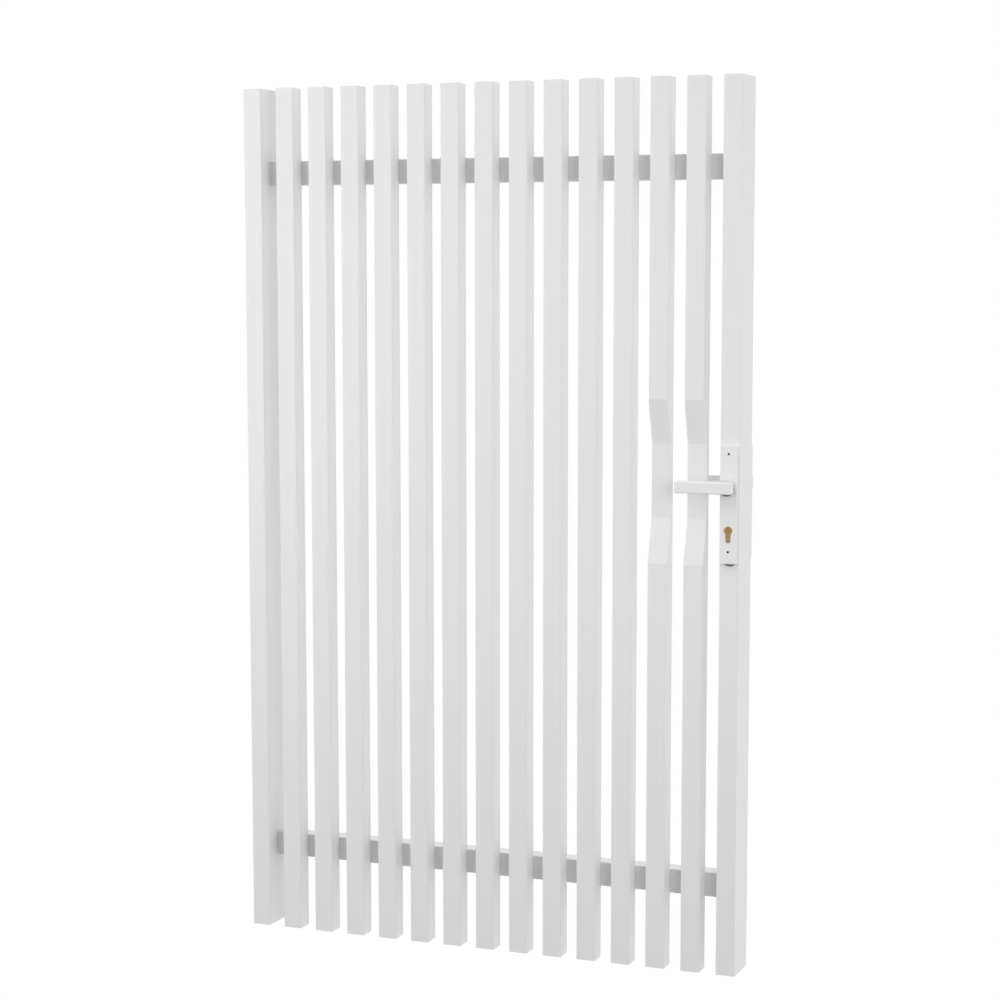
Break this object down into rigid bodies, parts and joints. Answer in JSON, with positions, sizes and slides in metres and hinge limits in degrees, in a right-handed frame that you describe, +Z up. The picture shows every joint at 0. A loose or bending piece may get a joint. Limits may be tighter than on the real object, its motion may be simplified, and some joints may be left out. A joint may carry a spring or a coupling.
{
  "type": "slatted pedestrian gate",
  "caption": "White powder-coated pedestrian gate leaf of upright square slats between deeper stiles, with a hand recess, a lever lock and barrel hinges.",
  "frame": {"origin": "middle of the lower post bracket's flat face, level with the bottom rail and with the leaf's back plane", "axes": "+X from the post to the lock side, +Y from the front to the back, +Z up"},
  "size_m": [1.124, 0.172, 1.8],
  "materials": {
    "white_coat": "white powder coat, satin",
    "handle_coat": "white powder coat, satin",
    "brass": "satin brass",
    "steel": "plain zinc-plated steel"
  },
  "bodies": {
    "post_brackets": {"lower_post_bracket": "white_coat", "lower_hinge_pin": "steel", "lower_hinge_washer": "brass", "upper_post_bracket": "white_coat", "upper_hinge_pin": "steel", "upper_hinge_washer": "brass"},
    "leaf": {"hinge_stile": "white_coat", "lock_stile": "white_coat", "slat_01": "white_coat", "slat_02": "white_coat", "slat_03": "white_coat", "slat_04": "white_coat", "slat_05": "white_coat", "slat_06": "white_coat", "slat_07": "white_coat", "slat_08": "white_coat", "slat_09": "white_coat", "slat_10": "white_coat", "slat_11": "white_coat", "slat_12": "white_coat", "slat_13": "white_coat", "top_rail": "white_coat", "bottom_rail": "white_coat", "slat_top_caps": "white_coat", "slat_bottom_caps": "white_coat", "stile_top_caps": "white_coat", "stile_bottom_caps": "white_coat", "front_lock_plate": "handle_coat", "back_lock_plate": "handle_coat", "lock_cylinder": "brass", "lower_hinge_tab": "white_coat", "upper_hinge_tab": "white_coat"},
    "handle": {"front_lever": "handle_coat", "back_lever": "handle_coat", "spindle": "steel"}
  },
  "joints": [
    {"name": "leaf_swing", "type": "hinge", "parent": "post_brackets", "child": "leaf", "pos_m": [0.018, 0, 0], "axis": [0, 0, 1], "range_deg": [0, 90]},
    {"name": "handle_turn", "type": "hinge", "parent": "leaf", "child": "handle", "pos_m": [1.104, -0.044, 0.819], "axis": [0, -1, 0], "range_deg": [0, 40], "stiffness_Nm_per_rad": 1.5, "springref_deg": -22.92}
  ]
}
